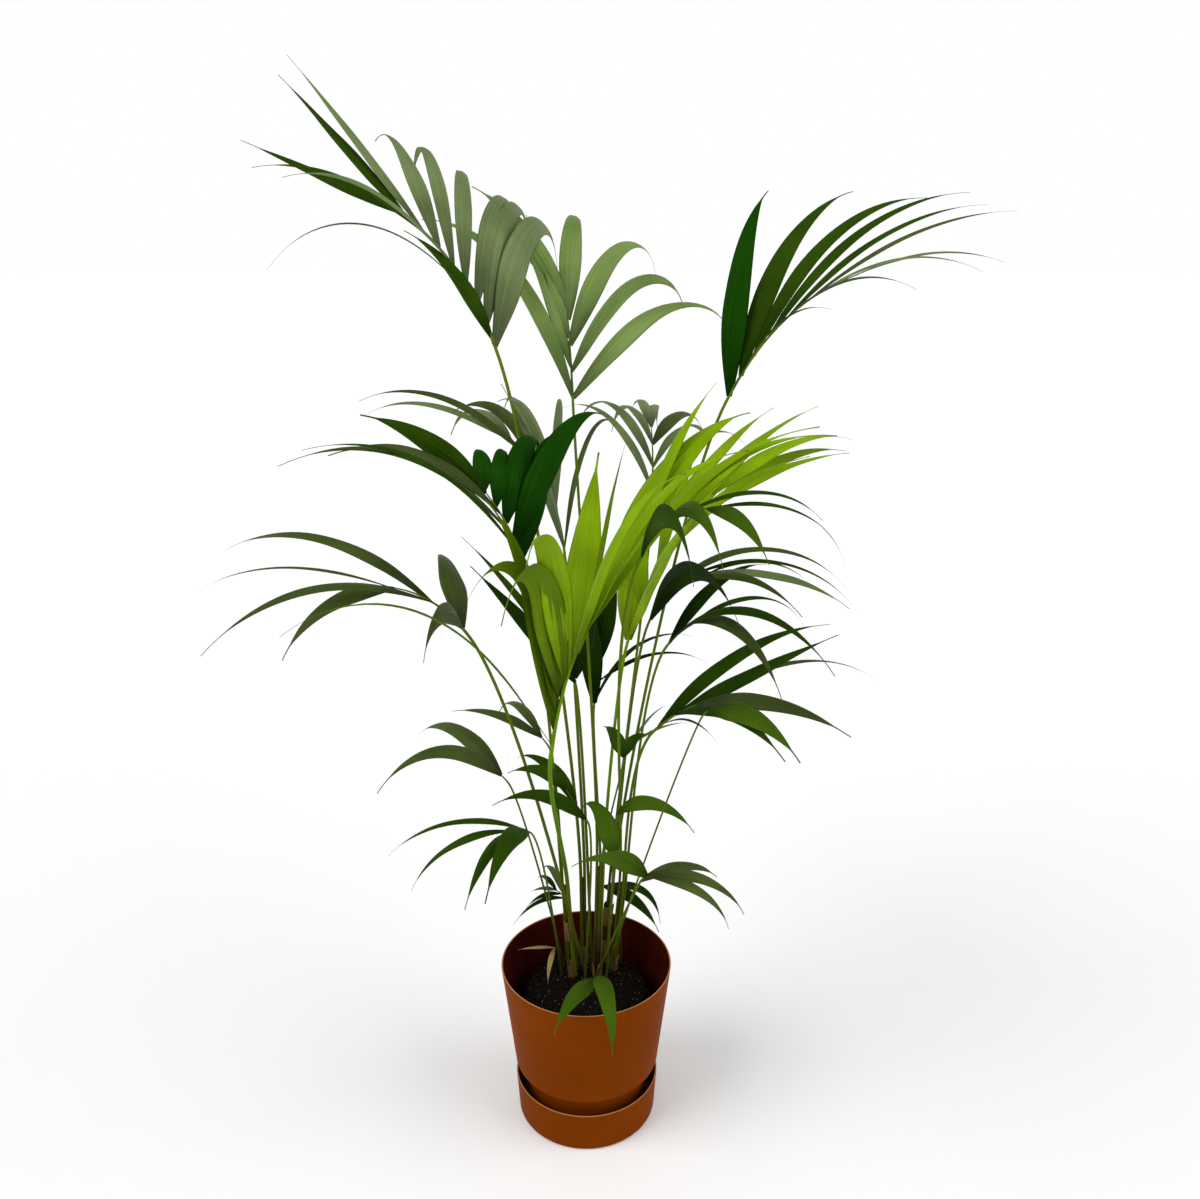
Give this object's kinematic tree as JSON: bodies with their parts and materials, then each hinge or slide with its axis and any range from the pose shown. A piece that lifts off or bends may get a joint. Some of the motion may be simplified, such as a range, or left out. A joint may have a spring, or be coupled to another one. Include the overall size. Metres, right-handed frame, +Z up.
{
  "type": "potted kentia palm",
  "caption": "Clump of kentia palm with arching feather fronds on slender green petioles, in a tapered round plastic pot that stands on its saucer above a shadow gap.",
  "frame": {"origin": "middle of the saucer's flat underside, on the ground", "axes": "+Z up, +X to the right and +Y to the back of the side that is seen first"},
  "size_m": [0.9419, 0.8673, 1.4297],
  "materials": {
    "pot": "satin moulded plastic, rust brown",
    "soil": "moist crumbly potting soil",
    "stem": "satin, sheathed in old leaf bases",
    "petiole": "satin green",
    "leaf_mature": "satin leaf, ribbed along its length",
    "leaf_young": "glossy young leaf, ribbed along its length",
    "leaf_withered": "dry and matt"
  },
  "bodies": {
    "root": {"pot_body": "pot", "pot_saucer": "pot", "root_ball": "soil", "stem_a": "stem", "stem_b": "stem", "stem_c": "stem", "stem_d": "stem", "stem_e": "stem", "petiole_top_left": "petiole", "petiole_top_centre": "petiole", "petiole_top_right": "petiole", "petiole_mid_left": "petiole", "petiole_back_left": "petiole", "petiole_back_centre": "petiole", "petiole_young_centre": "petiole", "petiole_young_right": "petiole", "petiole_left_low": "petiole", "petiole_right_upper": "petiole", "petiole_right_mid": "petiole", "petiole_right_low": "petiole", "petiole_right_front": "petiole", "petiole_back_dark": "petiole", "petiole_back_dark_left": "petiole", "frond_top_left": "leaf_mature", "frond_top_centre": "leaf_mature", "frond_top_right": "leaf_mature", "frond_mid_left": "leaf_mature", "frond_back_left": "leaf_mature", "frond_back_centre": "leaf_mature", "frond_young_centre": "leaf_young", "frond_young_right": "leaf_young", "frond_left_low": "leaf_mature", "frond_right_upper": "leaf_mature", "frond_right_mid": "leaf_mature", "frond_right_low": "leaf_mature", "frond_right_front": "leaf_mature", "frond_back_dark": "leaf_mature", "frond_back_dark_left": "leaf_mature", "leaf_right_stalk": "leaf_mature", "leaf_low_left": "leaf_mature", "leaf_low_left_front": "leaf_mature", "leaf_left_behind": "leaf_mature", "leaf_left_inner": "leaf_mature", "leaf_right_inner": "leaf_mature", "leaf_front_right": "leaf_mature", "leaf_right_back_low": "leaf_mature", "leaf_front_small": "leaf_mature", "leaf_left_small": "leaf_mature", "leaf_upright_small": "leaf_mature", "leaf_right_grey": "leaf_mature", "withered_leaf": "leaf_withered"}
  },
  "joints": []
}
